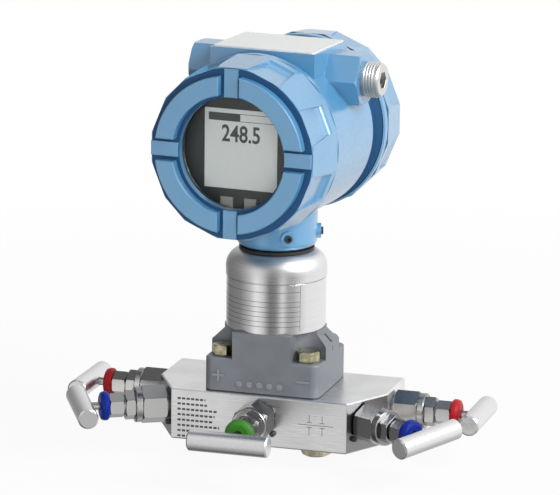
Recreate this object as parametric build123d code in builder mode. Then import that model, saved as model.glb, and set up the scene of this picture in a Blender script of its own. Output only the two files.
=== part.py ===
from build123d import *
from math import cos, radians, sin

# Pressure transmitter on a five-valve manifold
# Millimetres. The origin is on the underside of the manifold block, on the axis of the sensor
# module. The display looks along -Y, +X is to its right and +Z is up.

# Clearances
fit = 0.05
running = 0.10
gap = 0.30
cut_margin = 1.0

# Manifold block
block_half_width = 73.2
block_front_half_width = 56.0
block_front = 34.9
block_back = 37.0
block_chamfer_back = 3.4
block_height = 31.8
block_edge = 0.8
port_half_spacing = 27.0
bolt_half_depth = 20.65
passage_radius = 2.25
riser_radius = 4.0
seal_groove_radius = 9.6
seal_groove_depth = 2.0
seal_wire_radius = 1.0
bracket_hole_radius = 4.0
bracket_hole_spacing = 76.2
bracket_hole_depth = 12.0
bracket_hole_level = 15.9

# Process port plugs under the block
plug_thread_radius = 6.8
plug_thread_length = 14.0
plug_flats = 17.0
plug_head_height = 12.0
plug_head_chamfer = 2.6

# Needle valves, measured outward from the face that each one screws into
valve_height = 18.2
isolate_shift = 2.7
vent_y = 13.8
port_radius = 8.0
port_depth = 14.0
seat_radius = 2.25
link_start = 44.0
bonnet_stand_off = 1.2
bonnet_relief_radius = 8.6
bonnet_flats = 21.0
bonnet_length = 15.0
collar_radius = 11.0
collar_length = 4.3
neck_radius = 6.2
lock_nut_flats = 16.3
lock_nut_length = 6.2
nut_space = 0.8
gland_nut_flats = 13.4
gland_nut_length = 9.0
cap_radius = 9.05
cap_length = 5.7
cap_rim = 2.4
hex_chamfer = 1.1
stem_radius = 2.5
stem_thread_radius = 4.0
stem_thread_length = 12.0
stem_travel = 7.5
stem_pitch = 1.5
tip_radius = 3.4
tip_shank_length = 6.0
tip_end_radius = 0.9
closed_handle_reach = 53.0
handle_radius = 6.35
handle_length = 50.0
handle_chamfer = 0.9
packing_length = 5.0
packing_wall = 1.4
pin_radius = 1.7
pin_depth = 6.0
pin_height = 2.4
pin_offset = 9.3

# Flange casting
flange_half_width = 36.5
flange_half_depth = 31.0
flange_corner = 5.5
flange_top = 69.5
flange_shoulder = 60.3
flange_seat_radius = 31.4
pocket_floor = 52.8
pocket_radius = 10.0
pocket_shift = 1.5
pocket_edge = 1.2
slot_width = 3.0
slot_depth = 2.0
slot_start = 30.0
slot_end = 36.0
slit_width = 1.0
slit_height = 3.5
slit_level = 57.0
slit_depth = 1.5
mark_height = 0.6
mark_level = 42.0
mark_bar = 1.6
mark_span = 8.0
dot_count = 5
dot_pitch = 6.4
dot_radius = 2.0
dot_level = 37.6
dot_shift = -0.7

# Flange bolts
bolt_radius = 5.0
bolt_head_flats = 12.7
bolt_head_height = 6.6
bolt_engagement = 9.0

# Sensor module
can_radius = 30.7
can_cap_radius = 31.2
can_cap_length = 16.1
can_shoulder = 11.0
weld_groove = 0.8
weld_depth = 0.7
module_neck_radius = 18.0
module_neck_length = 18.5
neck_seal_radius = 23.2
neck_seal_thickness = 1.7

# Head, measured from the crossing of its long axis with the module axis
head_turn = -5.6
head_height = 189.4
neck_length = 17.6
joint_front = 38.0
joint_rear = 44.5
ring_radius = 54.5
ring_width = 4.0
body_radius = 52.6
groove_radius = 49.6
groove_front = 24.0
ring_slope = 3.0
bore_radius = 44.3
seal_bore_radius = 46.6
seal_bore_depth = 4.0
partition_front = -12.0
partition_back = -7.0
top_half_width = 34.0
top_front = 27.5
top_rear = 25.5
plate_rise = 2.4
top_base = 30.0
plate_margin = 1.4
plate_thickness = 0.9

# Housing neck
neck_outer_radius = 25.0
neck_fillet = 5.0
screw_boss_radius = 4.6
screw_boss_reach = 27.0
screw_rise = 9.3
screw_radius = 2.4
screw_reach = 28.4
screw_angles = (37.0, 112.0)
wire_hole_radius = 3.0

# Conduit entries
conduit_level = 37.0
conduit_y = 4.0
conduit_flats = 30.0
conduit_reach = 55.0
conduit_chamfer = 1.6
conduit_thread_radius = 10.3
conduit_thread_length = 20.0
wire_entry_radius = 8.0
plug_show = 11.0
plug_socket_flats = 9.5
plug_socket_depth = 7.0

# Covers
cover_gap_front = 0.5
cover_gap_rear = 2.0
cover_joint_radius = 55.2
cover_face_radius = 52.9
front_cover_depth = 34.5
rear_cover_depth = 26.5
skirt_length = 12.0
skirt_wall = 2.4
facet_count = 16
scoop_radius = 51.2
scoop_rim = 5.0
scoop_curve = 4.5
scoop_inner_half = 8.0
scoop_outer_half = 11.4
rim_chamfer = 0.8
land_inner_radius = 36.0
land_outer_radius = 47.6
land_height = 6.0
land_chamfer = 0.5
bar_width = 8.7
bar_slot = 2.2
bar_height = 1.6
bar_outer_radius = 51.4
opening_radius = 34.0
front_wall = 5.2
glass_radius = 38.0
glass_thickness = 6.0
retainer_inner_radius = 35.0
retainer_thickness = 2.6
rear_wall = 6.0
rear_dish_radius = 40.0
rear_dish_depth = 1.5
cover_seal_radius = 1.15

# Display and electronics
display_front = 57.5
display_radius = 40.0
display_depth = 15.0
screen_width = 47.0
screen_height = 48.3
screen_thickness = 1.0
screen_recess = 0.3
button_width = 7.8
button_height = 8.4
button_half_spacing = 7.7
button_shift = -1.2
button_level = -33.6
button_length = 4.0
button_proud = 0.5
button_travel = 1.0
board_radius = 36.0
board_thickness = 1.6
board_front = 26.0
post_radius = 2.4
post_circle = 30.0
post_count = 4
terminal_width = 58.0
terminal_height = 34.0
terminal_depth = 14.0
terminal_level = -12.0
terminal_corner = 4.0
terminal_screw_count = 4
terminal_screw_pitch = 13.0
terminal_screw_radius = 3.4
terminal_screw_head = 2.6


def finish(piece, label):
    piece.part.label = label
    export_step(piece.part, f"parts/{label}.step")


def section_of(plane):
    """Plane through a turned piece's axis: X runs along the axis, Y is the radius."""
    return Plane(origin=plane.origin, x_dir=plane.z_dir, z_dir=plane.y_dir)


def axis_of(plane):
    return Axis(plane.origin, plane.z_dir)


def turned(plane, points, mode=Mode.ADD):
    """Closed outline of (distance, radius) points turned about the plane's normal."""
    with BuildSketch(section_of(plane)) as outline:
        with BuildLine():
            Polyline(*points, close=True)
        make_face()
    revolve(outline.sketch, axis=axis_of(plane), mode=mode)


def hexagon(plane, start, length, flats, chamfer_size):
    """Hexagonal length of a turned piece, its corners turned off at both ends."""
    corner = flats / 3**0.5
    end = start + length
    with BuildPart(mode=Mode.PRIVATE) as prism:
        with BuildSketch(plane.offset(start)):
            RegularPolygon(radius=flats / 2, side_count=6, major_radius=False)
        extrude(amount=length)
        turned(plane, [
            (start, 0),
            (start, corner - chamfer_size),
            (start + chamfer_size * 0.6, corner + fit),
            (end - chamfer_size * 0.6, corner + fit),
            (end, corner - chamfer_size),
            (end, 0),
        ], mode=Mode.INTERSECT)
    add(prism.part)


def bore(plane, start, end, radius):
    with BuildSketch(plane.offset(start)) as circle:
        Circle(radius)
    extrude(circle.sketch, amount=end - start, mode=Mode.SUBTRACT)


# Places of the valves
chamfer_run_x = block_half_width - block_front_half_width
chamfer_run_y = block_front - block_chamfer_back
chamfer_length = (chamfer_run_x**2 + chamfer_run_y**2) ** 0.5
face_normal_x = chamfer_run_y / chamfer_length
face_normal_y = -chamfer_run_x / chamfer_length
isolate_x = (
    (block_half_width + block_front_half_width) / 2
    - isolate_shift * chamfer_run_x / chamfer_length
)
isolate_y = (
    -(block_front + block_chamfer_back) / 2 - isolate_shift * chamfer_run_y / chamfer_length
)


class Valve:
    """One needle valve: its place, how many turns it is open and how its handle is turned."""

    def __init__(self, name, x, y, normal_x, normal_y, turns_open, handle_angle, pin_side):
        self.name = name
        self.plane = Plane(
            origin=(x, y, valve_height), x_dir=(0, 0, 1), z_dir=(normal_x, normal_y, 0)
        )
        self.lift = turns_open * stem_pitch
        self.handle_angle = handle_angle
        self.pin_side = pin_side

    def pin_plane(self):
        place = self.plane.from_local_coords((-pin_offset, self.pin_side * pin_offset, 0))
        return Plane(origin=place, z_dir=self.plane.z_dir)


valves = [
    Valve("equalise", 0, -block_front, 0, -1, stem_travel / stem_pitch, 0, -1),
    Valve("isolate_left", -isolate_x, isolate_y, -face_normal_x, face_normal_y, 0, 3, -1),
    Valve("isolate_right", isolate_x, isolate_y, face_normal_x, face_normal_y, 0, -4, 1),
    Valve("vent_left", -block_half_width, vent_y, -1, 0, 0, 0, -1),
    Valve("vent_right", block_half_width, vent_y, 1, 0, 0, 0, 1),
]
port_xs = (-port_half_spacing, port_half_spacing)
bolt_places = [(x, y) for x in port_xs for y in (-bolt_half_depth, bolt_half_depth)]

# Manifold block with its drilled passages
with BuildPart() as manifold_block:
    with BuildSketch():
        with BuildLine():
            Polyline(
                (-block_front_half_width, -block_front),
                (block_front_half_width, -block_front),
                (block_half_width, -block_chamfer_back),
                (block_half_width, block_back),
                (-block_half_width, block_back),
                (-block_half_width, -block_chamfer_back),
                close=True,
            )
        make_face()
    extrude(amount=block_height)
    chamfer(edges().group_by(Axis.Z)[-1] + edges().group_by(Axis.Z)[0], block_edge)
    for x in port_xs:
        riser = Plane(origin=(x, 0, 0))
        bore(riser, 0, plug_thread_length + gap, plug_thread_radius)
        bore(riser, 0, block_height, riser_radius)
        bore(riser, block_height - seal_groove_depth, block_height, seal_groove_radius)
    for x, y in bolt_places:
        bore(Plane(origin=(x, y, block_height)), -bolt_engagement - cut_margin, 0, bolt_radius)
    for valve in valves:
        bore(valve.plane, 0, -port_depth, port_radius)
        bore(valve.pin_plane(), 0, -pin_depth, pin_radius)
    for x in (-bracket_hole_spacing / 2, bracket_hole_spacing / 2):
        back = Plane(origin=(x, block_back, bracket_hole_level), z_dir=(0, 1, 0))
        bore(back, -bracket_hole_depth, 0, bracket_hole_radius)
    # The equaliser's cross passage, its seat and the seats of the isolate valves
    cross = Plane(origin=(-port_half_spacing, 0, valve_height), z_dir=(1, 0, 0))
    bore(cross, 0, 2 * port_half_spacing, passage_radius)
    bore(valves[0].plane, 0, -block_front, seat_radius)
    for valve in valves[1:3]:
        reach = (isolate_x - port_half_spacing) / face_normal_x
        bore(valve.plane, 0, -reach, seat_radius)
    # The vent seats and the passages that link them to the risers
    for valve, side in zip(valves[3:5], (-1, 1)):
        bore(valve.plane, 0, link_start - block_half_width, seat_radius)
        link_run = link_start - port_half_spacing
        link = Plane(origin=(side * link_start, vent_y, valve_height),
                     z_dir=(-side * link_run, -vent_y, 0))
        bore(link, 0, (link_run**2 + vent_y**2) ** 0.5, passage_radius)
finish(manifold_block, "manifold_block")

# Two hex plugs in the process ports
with BuildPart() as process_port_plugs:
    for x in port_xs:
        below = Plane(origin=(x, 0, 0), z_dir=(0, 0, -1))
        hexagon(below, 0, plug_head_height, plug_flats, plug_head_chamfer)
        turned(below, [
            (-plug_thread_length, 0),
            (-plug_thread_length, plug_thread_radius - 1),
            (1 - plug_thread_length, plug_thread_radius - fit),
            (0, plug_thread_radius - fit),
            (0, 0),
        ])
finish(process_port_plugs, "process_port_plugs")

# Lengths along a valve
hex_end = bonnet_stand_off + bonnet_length
collar_end = hex_end + collar_length
lock_end = collar_end + lock_nut_length
gland_start = lock_end + nut_space
gland_end = gland_start + gland_nut_length
cap_end = gland_end + cap_length
thread_start = 1 - port_depth
cone_base = tip_radius - seat_radius + fit - port_depth
cone_end = tip_end_radius - seat_radius + fit - port_depth
tip_top = cone_base + tip_shank_length
thread_room = tip_top + stem_thread_length + stem_travel + 1
packing_start = gland_start - packing_length

for valve in valves:
    plane = valve.plane
    raised = plane.offset(valve.lift)
    with BuildPart() as bonnet:
        hexagon(plane, bonnet_stand_off, bonnet_length, bonnet_flats, hex_chamfer)
        turned(plane, [
            (thread_start, 0),
            (thread_start, port_radius - fit),
            (0, port_radius - fit),
            (0, bonnet_relief_radius),
            (bonnet_stand_off, bonnet_relief_radius),
            (bonnet_stand_off, 0),
        ])
        turned(plane, [
            (hex_end, 0),
            (hex_end, collar_radius - 0.5),
            (hex_end + 0.5, collar_radius),
            (collar_end - 0.5, collar_radius),
            (collar_end, collar_radius - 0.5),
            (collar_end, neck_radius),
            (gland_start, neck_radius),
            (gland_start, 0),
        ])
        bore(plane, thread_start, gland_start, stem_radius + running)
        bore(plane, thread_start, thread_room, stem_thread_radius + running)
        bore(plane, packing_start, gland_start, stem_radius + packing_wall)
    finish(bonnet, f"{valve.name}_bonnet")

    with BuildPart() as cap:
        turned(plane, [
            (gland_end, stem_radius + gap),
            (gland_end, cap_radius - cap_rim / 2),
            (gland_end + cap_rim / 2, cap_radius),
            (cap_end - cap_rim, cap_radius),
            (cap_end - cap_rim * 0.3, cap_radius - cap_rim * 0.3),
            (cap_end, cap_radius - cap_rim),
            (cap_end, stem_radius + gap),
        ])
    finish(cap, f"{valve.name}_cap")

    with BuildPart() as tip:
        turned(raised, [
            (cone_end, 0),
            (cone_end, tip_end_radius),
            (cone_base, tip_radius),
            (tip_top, tip_radius),
            (tip_top, 0),
        ])
    finish(tip, f"{valve.name}_tip")

    bar_angle = radians(valve.handle_angle)
    bar_direction = plane.y_dir * cos(bar_angle) + plane.x_dir * sin(bar_angle)
    handle_plane = Plane(
        origin=raised.from_local_coords((0, 0, closed_handle_reach)),
        x_dir=plane.z_dir,
        z_dir=bar_direction,
    )
    stem_start = tip_top + running
    stem_end = closed_handle_reach + handle_radius - 2
    with BuildPart() as stem:
        turned(raised, [
            (stem_start, 0),
            (stem_start, stem_thread_radius),
            (stem_start + stem_thread_length, stem_thread_radius),
            (stem_start + stem_thread_length, stem_radius),
            (stem_end, stem_radius),
            (stem_end, 0),
        ])
    finish(stem, f"{valve.name}_stem")

    with BuildPart() as handle:
        with BuildSketch(handle_plane):
            Circle(handle_radius)
        extrude(amount=handle_length / 2, both=True)
        chamfer(edges().filter_by(GeomType.CIRCLE), handle_chamfer)
        bore(raised, 0, stem_end, stem_radius + fit)
    finish(handle, f"{valve.name}_handle")

# Lock nuts, gland nuts, stem packings and bonnet lock pins, one of each for each valve
with BuildPart() as bonnet_lock_nuts:
    for valve in valves:
        hexagon(valve.plane, collar_end, lock_nut_length, lock_nut_flats, hex_chamfer)
        bore(valve.plane, collar_end, lock_end, neck_radius + fit)
finish(bonnet_lock_nuts, "bonnet_lock_nuts")

with BuildPart() as gland_nuts:
    for valve in valves:
        hexagon(valve.plane, gland_start, gland_nut_length, gland_nut_flats, hex_chamfer)
        bore(valve.plane, gland_start, gland_end, stem_radius + running)
finish(gland_nuts, "gland_nuts")

with BuildPart() as stem_packings:
    for valve in valves:
        turned(valve.plane, [
            (packing_start + fit, stem_radius + running),
            (packing_start + fit, stem_radius + packing_wall - fit),
            (gland_start - fit, stem_radius + packing_wall - fit),
            (gland_start - fit, stem_radius + running),
        ])
finish(stem_packings, "stem_packings")

with BuildPart() as bonnet_lock_pins:
    for valve in valves:
        turned(valve.pin_plane(), [
            (fit - pin_depth, 0),
            (fit - pin_depth, pin_radius - fit),
            (pin_height - 0.5, pin_radius - fit),
            (pin_height, pin_radius - 0.5),
            (pin_height, 0),
        ])
finish(bonnet_lock_pins, "bonnet_lock_pins")

# Flange casting: a rounded block with shoulders, a round seat for the module and bolt pockets
shoulder_run = flange_top - flange_shoulder
with BuildPart() as process_flange:
    with BuildSketch(Plane.XY.offset(block_height)):
        Rectangle(2 * flange_half_width, 2 * flange_half_depth)
        fillet(vertices(), flange_corner)
    extrude(amount=flange_top - block_height)
    with BuildSketch(Plane.XZ):
        for side in (-1, 1):
            with BuildLine():
                Polyline(
                    (side * flange_half_width, flange_shoulder),
                    (side * (flange_half_width - shoulder_run), flange_top),
                    (side * flange_half_width, flange_top),
                    close=True,
                )
            make_face()
    extrude(amount=flange_half_depth, both=True, mode=Mode.SUBTRACT)
    with BuildSketch(Plane.XY.offset(pocket_floor)):
        Circle(flange_seat_radius)
        Rectangle(2 * flange_half_width, 2 * flange_half_depth, mode=Mode.INTERSECT)
    extrude(amount=flange_top - pocket_floor)
    with BuildSketch(Plane.XY.offset(pocket_floor)):
        for x, y in bolt_places:
            centre_x = x + pocket_shift if x > 0 else x - pocket_shift
            outward = Align.MIN if y > 0 else Align.MAX
            with Locations((centre_x, y)):
                Circle(pocket_radius)
                Rectangle(2 * pocket_radius, 2 * pocket_radius, align=(Align.CENTER, outward))
    extrude(amount=flange_top - pocket_floor, mode=Mode.SUBTRACT)
    lower_rim = edges().filter_by_position(Axis.Z, pocket_floor - 0.1, pocket_floor + 0.1)
    rounded = lower_rim.filter_by(lambda edge: max(
        abs(edge.center().X) / flange_half_width, abs(edge.center().Y) / flange_half_depth
    ) > 0.95)
    fillet(rounded, pocket_edge)
    # A narrow slot down each shoulder and a slit below it in the side
    slot_length = (slot_end - slot_start) * 2**0.5
    for side in (-1, 1):
        slope = Plane(
            origin=(side * slot_start, 0, flange_shoulder + flange_half_width - slot_start),
            x_dir=(side, 0, -1),
            z_dir=(side, 0, 1),
        )
        with BuildSketch(slope):
            Rectangle(slot_length, slot_width, align=(Align.MIN, Align.CENTER))
        extrude(amount=-slot_depth, mode=Mode.SUBTRACT)
        flank = Plane(
            origin=(side * flange_half_width, 0, slit_level), x_dir=(0, side, 0), z_dir=(side, 0, 0)
        )
        with BuildSketch(flank):
            Rectangle(slit_width, slit_height)
        extrude(amount=-slit_depth, mode=Mode.SUBTRACT)
    for x in port_xs:
        bore(Plane(origin=(x, 0, block_height)), 0, flange_top - block_height, riser_radius)
    for x, y in bolt_places:
        bore(Plane(origin=(x, y, block_height)), 0, pocket_floor - block_height, bolt_radius + gap)
    # Generic raised marks: a plus on the high side, a minus on the low side and a row of dots
    front_face = Plane(origin=(0, -flange_half_depth, 0), x_dir=(1, 0, 0), z_dir=(0, -1, 0))
    with BuildSketch(front_face):
        with Locations((-port_half_spacing, mark_level)):
            Rectangle(mark_span, mark_bar)
            Rectangle(mark_bar, mark_span)
        with Locations((port_half_spacing, mark_level)):
            Rectangle(mark_span, mark_bar)
        with Locations((dot_shift, dot_level)):
            with GridLocations(dot_pitch, dot_pitch, dot_count, 1):
                Circle(dot_radius)
    extrude(amount=mark_height)
finish(process_flange, "process_flange")

# Flange bolts
with BuildPart() as flange_bolts:
    for x, y in bolt_places:
        seat = Plane(origin=(x, y, pocket_floor))
        hexagon(seat, 0, bolt_head_height, bolt_head_flats, hex_chamfer)
        turned(seat, [
            (block_height - pocket_floor - bolt_engagement, 0),
            (block_height - pocket_floor - bolt_engagement, bolt_radius - fit),
            (0, bolt_radius - fit),
            (0, 0),
        ])
finish(flange_bolts, "flange_bolts")

# Seals between the block and the flange
with BuildPart() as flange_seals:
    for x in port_xs:
        with BuildSketch(Plane(origin=(x, 0, block_height), x_dir=(1, 0, 0), z_dir=(0, -1, 0))):
            with Locations((seal_groove_radius - seal_wire_radius - fit, -seal_wire_radius)):
                Circle(seal_wire_radius - fit)
        revolve(axis=Axis((x, 0, 0), (0, 0, 1)))
finish(flange_seals, "flange_seals")

# Sensor module: one sealed, welded can with a turned neck
module = Plane.XY
neck_seal_top = head_height - body_radius - neck_length
can_top = neck_seal_top - neck_seal_thickness
can_cap_bottom = can_top - can_cap_length
with BuildPart() as sensor_module:
    with BuildSketch(section_of(module)):
        with BuildLine():
            Polyline(
                (flange_top, 0),
                (flange_top, can_radius),
                (can_cap_bottom - weld_groove, can_radius),
                (can_cap_bottom - weld_groove, can_radius - weld_depth),
                (can_cap_bottom, can_radius - weld_depth),
                (can_cap_bottom, can_cap_radius),
                (can_top - can_shoulder, can_cap_radius),
            )
            TangentArc(
                (can_top - can_shoulder, can_cap_radius),
                (can_top, can_cap_radius - can_shoulder),
                tangent=(1, 0),
            )
            Polyline(
                (can_top, can_cap_radius - can_shoulder),
                (can_top, module_neck_radius),
                (can_top + module_neck_length, module_neck_radius),
                (can_top + module_neck_length, 0),
                (flange_top, 0),
            )
        make_face()
    revolve(axis=axis_of(module))
finish(sensor_module, "sensor_module")

# Black seal between the module and the housing neck
with BuildPart() as neck_seal:
    turned(module, [
        (can_top, module_neck_radius + fit),
        (can_top, neck_seal_radius),
        (neck_seal_top, neck_seal_radius),
        (neck_seal_top, module_neck_radius + fit),
    ])
finish(neck_seal, "neck_seal")

# Planes of the head, which stands on the neck and is turned a little on the module
screw_level = neck_seal_top + screw_rise
top_height = body_radius + plate_rise
turn = radians(head_turn)
head_right = Vector(cos(turn), sin(turn), 0)
head_back = Vector(-sin(turn), cos(turn), 0)
head_up = Vector(0, 0, 1)
head_centre = Vector(0, 0, head_height)
to_front = Plane(origin=head_centre, x_dir=head_right, z_dir=-head_back)
to_rear = Plane(origin=head_centre, x_dir=-head_right, z_dir=head_back)
head_level = Plane(origin=head_centre, x_dir=head_right, z_dir=head_up)


def head_point(right, back, up):
    return head_centre + head_right * right + head_back * back + head_up * up


screw_planes = []
for angle in screw_angles:
    outward = head_right * sin(radians(angle)) - head_back * cos(radians(angle))
    screw_planes.append(Plane(origin=(0, 0, screw_level), z_dir=outward))


# Electronics housing: one casting with two compartments
neck_bottom = neck_seal_top + gap
neck_bore_top = can_top + module_neck_length + 1.5
with BuildPart() as electronics_housing:
    turned(to_rear, [
        (-joint_front, 0),
        (-joint_front, ring_radius),
        (ring_width - joint_front, ring_radius),
        (ring_width + ring_slope - joint_front, body_radius),
        (groove_front, body_radius),
        (groove_front + ring_slope, groove_radius),
        (joint_rear - ring_width - ring_slope, groove_radius),
        (joint_rear - ring_width, ring_radius),
        (joint_rear, ring_radius),
        (joint_rear, 0),
    ])
    # Flat-topped block that carries the plate
    with BuildSketch(head_level.offset(top_base)):
        with Locations((0, (top_rear - top_front) / 2)):
            Rectangle(2 * top_half_width, top_front + top_rear)
    extrude(amount=top_height - top_base)
    # Conduit bosses on both flanks
    boss_plane = Plane(
        origin=head_point(0, conduit_y, conduit_level), x_dir=head_back, z_dir=head_right
    )
    hexagon(boss_plane, -conduit_reach, 2 * conduit_reach, conduit_flats, conduit_chamfer)
    # Neck that turns on the sensor module
    with BuildSketch(section_of(module)):
        with BuildLine():
            Line((neck_bottom, 0), (neck_bottom, neck_outer_radius - neck_fillet))
            TangentArc(
                (neck_bottom, neck_outer_radius - neck_fillet),
                (neck_bottom + neck_fillet, neck_outer_radius),
                tangent=(0, 1),
            )
            Polyline(
                (neck_bottom + neck_fillet, neck_outer_radius),
                (head_height - bore_radius, neck_outer_radius),
                (head_height - bore_radius, 0),
                (neck_bottom, 0),
            )
        make_face()
    revolve(axis=axis_of(module))
    for plane in screw_planes:
        with BuildSketch(plane.offset(module_neck_radius + 2)):
            Circle(screw_boss_radius)
        extrude(amount=screw_boss_reach - module_neck_radius - 2)
    # Compartments, seal seats and passages
    bore(to_front, -partition_front, joint_front, bore_radius)
    bore(to_front, joint_front - seal_bore_depth, joint_front, seal_bore_radius)
    bore(to_rear, partition_back, joint_rear, bore_radius)
    bore(to_rear, joint_rear - seal_bore_depth, joint_rear, seal_bore_radius)
    bore(module, neck_bottom, neck_bore_top, module_neck_radius + running)
    wire_place = head_back * (partition_front - wire_hole_radius - 0.2)
    bore(Plane(origin=(wire_place.X, wire_place.Y, 0)),
         neck_bore_top - cut_margin, head_height - bore_radius + wire_hole_radius, wire_hole_radius)
    for way in (1, -1):
        entry = Plane(origin=head_point(0, conduit_y, conduit_level), z_dir=head_right * way)
        bore(entry, bore_radius / 2, conduit_reach, wire_entry_radius)
        bore(entry, conduit_reach - conduit_thread_length, conduit_reach, conduit_thread_radius)
    for plane in screw_planes:
        bore(plane, module_neck_radius, screw_boss_reach, screw_radius)
finish(electronics_housing, "electronics_housing")

# Set screws in the neck
with BuildPart() as neck_set_screws:
    for plane in screw_planes:
        turned(plane, [
            (module_neck_radius + running + fit, 0),
            (module_neck_radius + running + fit, screw_radius - fit),
            (screw_reach, screw_radius - fit),
            (screw_reach, 0),
        ])
        with BuildSketch(plane.offset(screw_reach)):
            RegularPolygon(radius=screw_radius * 0.5, side_count=6)
        extrude(amount=-screw_radius, mode=Mode.SUBTRACT)
finish(neck_set_screws, "neck_set_screws")

# Plate on the housing's flat top
with BuildPart() as top_plate:
    with BuildSketch(head_level.offset(top_height)):
        with Locations((0, (top_rear - top_front) / 2)):
            Rectangle(
                2 * (top_half_width - plate_margin), top_front + top_rear - 2 * plate_margin
            )
    extrude(amount=plate_thickness)
    fillet(edges().filter_by(Axis.Z), plate_margin)
finish(top_plate, "top_plate")

# Plug in the right conduit entry
with BuildPart() as conduit_plug:
    entry = Plane(origin=head_point(0, conduit_y, conduit_level), z_dir=head_right)
    plug_inner_end = conduit_reach - conduit_thread_length + plug_show
    plug_face = conduit_reach + plug_show
    turned(entry, [
        (plug_inner_end, 0),
        (plug_inner_end, conduit_thread_radius - 1),
        (plug_inner_end + 1, conduit_thread_radius - fit),
        (plug_face - 1, conduit_thread_radius - fit),
        (plug_face, conduit_thread_radius - 1),
        (plug_face, 0),
    ])
    with BuildSketch(entry.offset(plug_face)):
        RegularPolygon(radius=plug_socket_flats / 2, side_count=6, major_radius=False)
    extrude(amount=-plug_socket_depth, mode=Mode.SUBTRACT)
finish(conduit_plug, "conduit_plug")


def lugged_shell(plane, depth, wall):
    """Cover blank: a sixteen-sided taper, every second facet scooped for grip, with a skirt."""
    sections = []
    for height, radius in ((0, cover_joint_radius), (depth, cover_face_radius)):
        with BuildSketch(plane.offset(height)) as section:
            RegularPolygon(radius=radius, side_count=facet_count, rotation=180 / facet_count)
        sections.append(section.sketch)
    loft(sections)
    chamfer(faces().sort_by(axis_of(plane))[-1].edges(), rim_chamfer)
    step = 360 / facet_count
    for index in range(1, facet_count, 2):
        angle = radians(index * step)
        radial = plane.x_dir * cos(angle) + plane.y_dir * sin(angle)
        along = Plane(origin=plane.origin, x_dir=plane.z_dir, z_dir=plane.z_dir.cross(radial))
        across = Plane(origin=plane.origin, x_dir=plane.z_dir, z_dir=radial)
        with BuildPart(mode=Mode.PRIVATE) as scoop:
            with BuildSketch(along):
                with BuildLine():
                    Line((depth + cut_margin, scoop_radius), (scoop_rim + scoop_curve, scoop_radius))
                    TangentArc(
                        (scoop_rim + scoop_curve, scoop_radius),
                        (scoop_rim, scoop_radius + scoop_curve),
                        tangent=(-1, 0),
                    )
                    Polyline(
                        (scoop_rim, scoop_radius + scoop_curve),
                        (depth + cut_margin, scoop_radius + scoop_curve),
                        (depth + cut_margin, scoop_radius),
                    )
                make_face()
            extrude(amount=scoop_outer_half + cut_margin, both=True)
            with BuildSketch(across.offset(scoop_radius - cut_margin)):
                with BuildLine():
                    Polyline(
                        (0, -scoop_inner_half),
                        (depth + cut_margin, -scoop_outer_half),
                        (depth + cut_margin, scoop_outer_half),
                        (0, scoop_inner_half),
                        close=True,
                    )
                make_face()
            extrude(amount=scoop_curve + 2 * cut_margin, mode=Mode.INTERSECT)
        add(scoop.part, mode=Mode.SUBTRACT)
    with BuildSketch(plane) as skirt:
        Circle(skirt_radius)
    extrude(skirt.sketch, amount=-skirt_length)
    bore(plane, -skirt_length, depth - wall, skirt_radius - skirt_wall)


skirt_radius = bore_radius - gap

# Front cover with four raised lands, four bars and the window opening
front_joint_plane = to_front.offset(joint_front + cover_gap_front)
glass_seat = front_cover_depth - front_wall
land_gap = bar_width + 2 * bar_slot
with BuildPart() as front_cover:
    lugged_shell(front_joint_plane, front_cover_depth, front_wall + glass_thickness)
    cover_floor = front_joint_plane.offset(front_cover_depth)
    with BuildSketch(cover_floor):
        Circle(land_outer_radius)
        Circle(land_inner_radius, mode=Mode.SUBTRACT)
        Rectangle(land_gap, 2 * land_outer_radius, mode=Mode.SUBTRACT)
        Rectangle(2 * land_outer_radius, land_gap, mode=Mode.SUBTRACT)
    extrude(amount=land_height)
    chamfer(faces().sort_by(axis_of(front_joint_plane))[-4:].edges(), land_chamfer)
    bar_length = bar_outer_radius - opening_radius
    with BuildSketch(cover_floor):
        with PolarLocations(opening_radius + bar_length / 2, 4):
            Rectangle(bar_length, bar_width)
    extrude(amount=bar_height)
    bore(front_joint_plane, 0, glass_seat, glass_radius + gap)
    turned(front_joint_plane, [
        (0, 0),
        (0, opening_radius),
        (front_cover_depth, opening_radius),
        (front_cover_depth + land_height, land_inner_radius),
        (front_cover_depth + land_height, 0),
    ], mode=Mode.SUBTRACT)
finish(front_cover, "front_cover")

with BuildPart() as window_glass:
    turned(front_joint_plane, [
        (glass_seat - glass_thickness, 0),
        (glass_seat - glass_thickness, glass_radius),
        (glass_seat, glass_radius),
        (glass_seat, 0),
    ])
finish(window_glass, "window_glass")

with BuildPart() as window_retainer:
    retainer_front = glass_seat - glass_thickness
    turned(front_joint_plane, [
        (retainer_front - retainer_thickness, retainer_inner_radius + 1),
        (retainer_front - retainer_thickness, skirt_radius - skirt_wall - fit),
        (retainer_front, skirt_radius - skirt_wall - fit),
        (retainer_front, retainer_inner_radius),
        (retainer_front - 1, retainer_inner_radius),
    ])
finish(window_retainer, "window_retainer")

# Rear cover
rear_joint_plane = to_rear.offset(joint_rear + cover_gap_rear)
with BuildPart() as rear_cover:
    lugged_shell(rear_joint_plane, rear_cover_depth, rear_wall)
    bore(rear_joint_plane, rear_cover_depth - rear_dish_depth, rear_cover_depth, rear_dish_radius)
finish(rear_cover, "rear_cover")

# Seals at the two cover joints
for name, joint_plane in (("front_seal", front_joint_plane), ("rear_seal", rear_joint_plane)):
    with BuildPart() as cover_seal:
        with BuildSketch(section_of(joint_plane)):
            with Locations((-cover_seal_radius - fit, skirt_radius + cover_seal_radius + fit)):
                Circle(cover_seal_radius)
        revolve(axis=axis_of(joint_plane))
    finish(cover_seal, name)

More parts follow.
